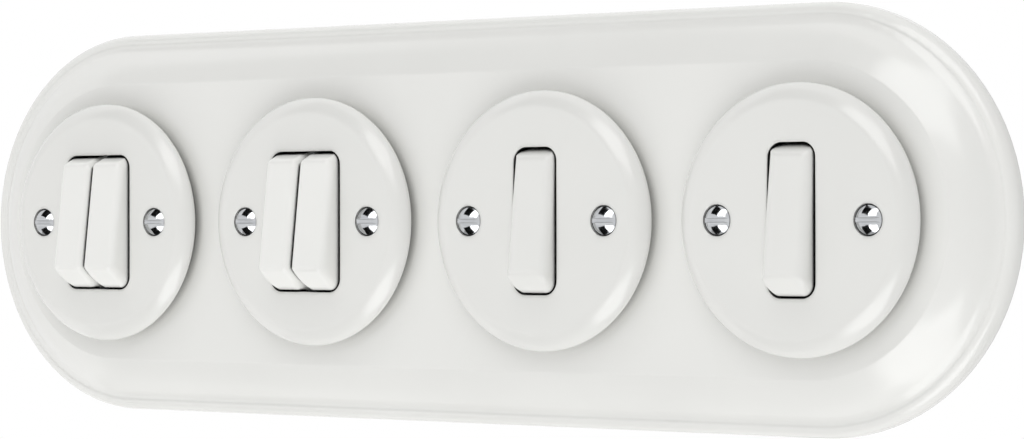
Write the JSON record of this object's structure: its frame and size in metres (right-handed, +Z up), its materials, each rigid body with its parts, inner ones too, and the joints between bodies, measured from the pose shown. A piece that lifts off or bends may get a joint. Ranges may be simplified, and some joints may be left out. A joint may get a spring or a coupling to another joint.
{
  "type": "porcelain light switch",
  "caption": "Row of round porcelain rocker switches on one long stadium-shaped porcelain surround, for flush wall boxes.",
  "frame": {"origin": "centre of the row on the wall plane, at the surround's back", "axes": "+X along the row to the right, +Z up, front of the switch towards -Y"},
  "size_m": [0.313, 0.0519, 0.1],
  "materials": {
    "porcelain": "glossy white glaze",
    "chrome_plate": "polished",
    "zinc_plated_steel": "zinc plated",
    "bright_steel": "ground",
    "brass": "bare",
    "phenolic_moulding": "moulded",
    "white_nylon": "moulded"
  },
  "bodies": {
    "housing": {"surround": "porcelain", "cover_screws": "chrome_plate", "screw_posts": "brass", "terminal_screws": "brass", "base_rivets": "zinc_plated_steel", "cover_plate_1": "porcelain", "cover_plate_2": "porcelain", "cover_plate_3": "porcelain", "cover_plate_4": "porcelain", "mounting_plate_1": "zinc_plated_steel", "mounting_plate_2": "zinc_plated_steel", "mounting_plate_3": "zinc_plated_steel", "mounting_plate_4": "zinc_plated_steel", "pivot_pin_1": "bright_steel", "pivot_pin_2": "bright_steel", "pivot_pin_3": "bright_steel", "pivot_pin_4": "bright_steel", "switch_base_1": "phenolic_moulding", "switch_base_2": "phenolic_moulding", "switch_base_3": "phenolic_moulding", "switch_base_4": "phenolic_moulding", "throw_contacts_1": "brass", "throw_contacts_2": "brass", "throw_contacts_3": "brass", "throw_contacts_4": "brass", "common_terminals_1": "brass", "common_terminals_2": "brass", "common_terminals_3": "brass", "common_terminals_4": "brass"},
    "rocker_1_left": {"rocker_1_left": "porcelain", "plunger_spring_1_left": "bright_steel"},
    "plunger_1_left": {"plunger_1_left": "white_nylon"},
    "contact_lever_1_left": {"contact_lever_1_left": "brass"},
    "rocker_1_right": {"rocker_1_right": "porcelain", "plunger_spring_1_right": "bright_steel"},
    "plunger_1_right": {"plunger_1_right": "white_nylon"},
    "contact_lever_1_right": {"contact_lever_1_right": "brass"},
    "rocker_2_left": {"rocker_2_left": "porcelain", "plunger_spring_2_left": "bright_steel"},
    "plunger_2_left": {"plunger_2_left": "white_nylon"},
    "contact_lever_2_left": {"contact_lever_2_left": "brass"},
    "rocker_2_right": {"rocker_2_right": "porcelain", "plunger_spring_2_right": "bright_steel"},
    "plunger_2_right": {"plunger_2_right": "white_nylon"},
    "contact_lever_2_right": {"contact_lever_2_right": "brass"},
    "rocker_3": {"rocker_3": "porcelain", "plunger_spring_3": "bright_steel"},
    "plunger_3": {"plunger_3": "white_nylon"},
    "contact_lever_3": {"contact_lever_3": "brass"},
    "rocker_4": {"rocker_4": "porcelain", "plunger_spring_4": "bright_steel"},
    "plunger_4": {"plunger_4": "white_nylon"},
    "contact_lever_4": {"contact_lever_4": "brass"}
  },
  "joints": [
    {"name": "rocker_1_left_tilt", "type": "hinge", "parent": "housing", "child": "rocker_1_left", "pos_m": [-0.11195, -0.0095, 0], "axis": [1, 0, 0], "range_deg": [0, 15]},
    {"name": "plunger_1_left_slide", "type": "slide", "parent": "rocker_1_left", "child": "plunger_1_left", "axis": [0, -0.9914, 0.1305], "range_m": [0, 0.001], "stiffness_N_per_m": 300, "springref_m": -0.003, "deforming": ["plunger_spring_1_left"]},
    {"name": "contact_lever_1_left_tilt", "type": "hinge", "parent": "housing", "child": "contact_lever_1_left", "pos_m": [-0.11195, 0.00855, 0], "axis": [1, 0, 0], "range_deg": [-22.5, 0]},
    {"name": "rocker_1_right_tilt", "type": "hinge", "parent": "housing", "child": "rocker_1_right", "pos_m": [-0.10105, -0.0095, 0], "axis": [1, 0, 0], "range_deg": [0, 15]},
    {"name": "plunger_1_right_slide", "type": "slide", "parent": "rocker_1_right", "child": "plunger_1_right", "axis": [0, -0.9914, 0.1305], "range_m": [0, 0.001], "stiffness_N_per_m": 300, "springref_m": -0.003, "deforming": ["plunger_spring_1_right"]},
    {"name": "contact_lever_1_right_tilt", "type": "hinge", "parent": "housing", "child": "contact_lever_1_right", "pos_m": [-0.10105, 0.00855, 0], "axis": [1, 0, 0], "range_deg": [-22.5, 0]},
    {"name": "rocker_2_left_tilt", "type": "hinge", "parent": "housing", "child": "rocker_2_left", "pos_m": [-0.04095, -0.0095, 0], "axis": [1, 0, 0], "range_deg": [0, 15]},
    {"name": "plunger_2_left_slide", "type": "slide", "parent": "rocker_2_left", "child": "plunger_2_left", "axis": [0, -0.9914, 0.1305], "range_m": [0, 0.001], "stiffness_N_per_m": 300, "springref_m": -0.003, "deforming": ["plunger_spring_2_left"]},
    {"name": "contact_lever_2_left_tilt", "type": "hinge", "parent": "housing", "child": "contact_lever_2_left", "pos_m": [-0.04095, 0.00855, 0], "axis": [1, 0, 0], "range_deg": [-22.5, 0]},
    {"name": "rocker_2_right_tilt", "type": "hinge", "parent": "housing", "child": "rocker_2_right", "pos_m": [-0.03005, -0.0095, 0], "axis": [1, 0, 0], "range_deg": [0, 15]},
    {"name": "plunger_2_right_slide", "type": "slide", "parent": "rocker_2_right", "child": "plunger_2_right", "axis": [0, -0.9914, 0.1305], "range_m": [0, 0.001], "stiffness_N_per_m": 300, "springref_m": -0.003, "deforming": ["plunger_spring_2_right"]},
    {"name": "contact_lever_2_right_tilt", "type": "hinge", "parent": "housing", "child": "contact_lever_2_right", "pos_m": [-0.03005, 0.00855, 0], "axis": [1, 0, 0], "range_deg": [-22.5, 0]},
    {"name": "rocker_3_tilt", "type": "hinge", "parent": "housing", "child": "rocker_3", "pos_m": [0.0355, -0.0095, 0], "axis": [1, 0, 0], "range_deg": [0, 15]},
    {"name": "plunger_3_slide", "type": "slide", "parent": "rocker_3", "child": "plunger_3", "axis": [0, -0.9914, 0.1305], "range_m": [0, 0.001], "stiffness_N_per_m": 300, "springref_m": -0.003, "deforming": ["plunger_spring_3"]},
    {"name": "contact_lever_3_tilt", "type": "hinge", "parent": "housing", "child": "contact_lever_3", "pos_m": [0.0355, 0.00855, 0], "axis": [1, 0, 0], "range_deg": [-22.5, 0]},
    {"name": "rocker_4_tilt", "type": "hinge", "parent": "housing", "child": "rocker_4", "pos_m": [0.1065, -0.0095, 0], "axis": [1, 0, 0], "range_deg": [0, 15]},
    {"name": "plunger_4_slide", "type": "slide", "parent": "rocker_4", "child": "plunger_4", "axis": [0, -0.9914, 0.1305], "range_m": [0, 0.001], "stiffness_N_per_m": 300, "springref_m": -0.003, "deforming": ["plunger_spring_4"]},
    {"name": "contact_lever_4_tilt", "type": "hinge", "parent": "housing", "child": "contact_lever_4", "pos_m": [0.1065, 0.00855, 0], "axis": [1, 0, 0], "range_deg": [-22.5, 0]}
  ],
  "couplings": [
    {"joint": "contact_lever_1_left_tilt", "follows": "rocker_1_left_tilt", "ratio": -1.5},
    {"joint": "contact_lever_1_right_tilt", "follows": "rocker_1_right_tilt", "ratio": -1.5},
    {"joint": "contact_lever_2_left_tilt", "follows": "rocker_2_left_tilt", "ratio": -1.5},
    {"joint": "contact_lever_2_right_tilt", "follows": "rocker_2_right_tilt", "ratio": -1.5},
    {"joint": "contact_lever_3_tilt", "follows": "rocker_3_tilt", "ratio": -1.5},
    {"joint": "contact_lever_4_tilt", "follows": "rocker_4_tilt", "ratio": -1.5}
  ]
}
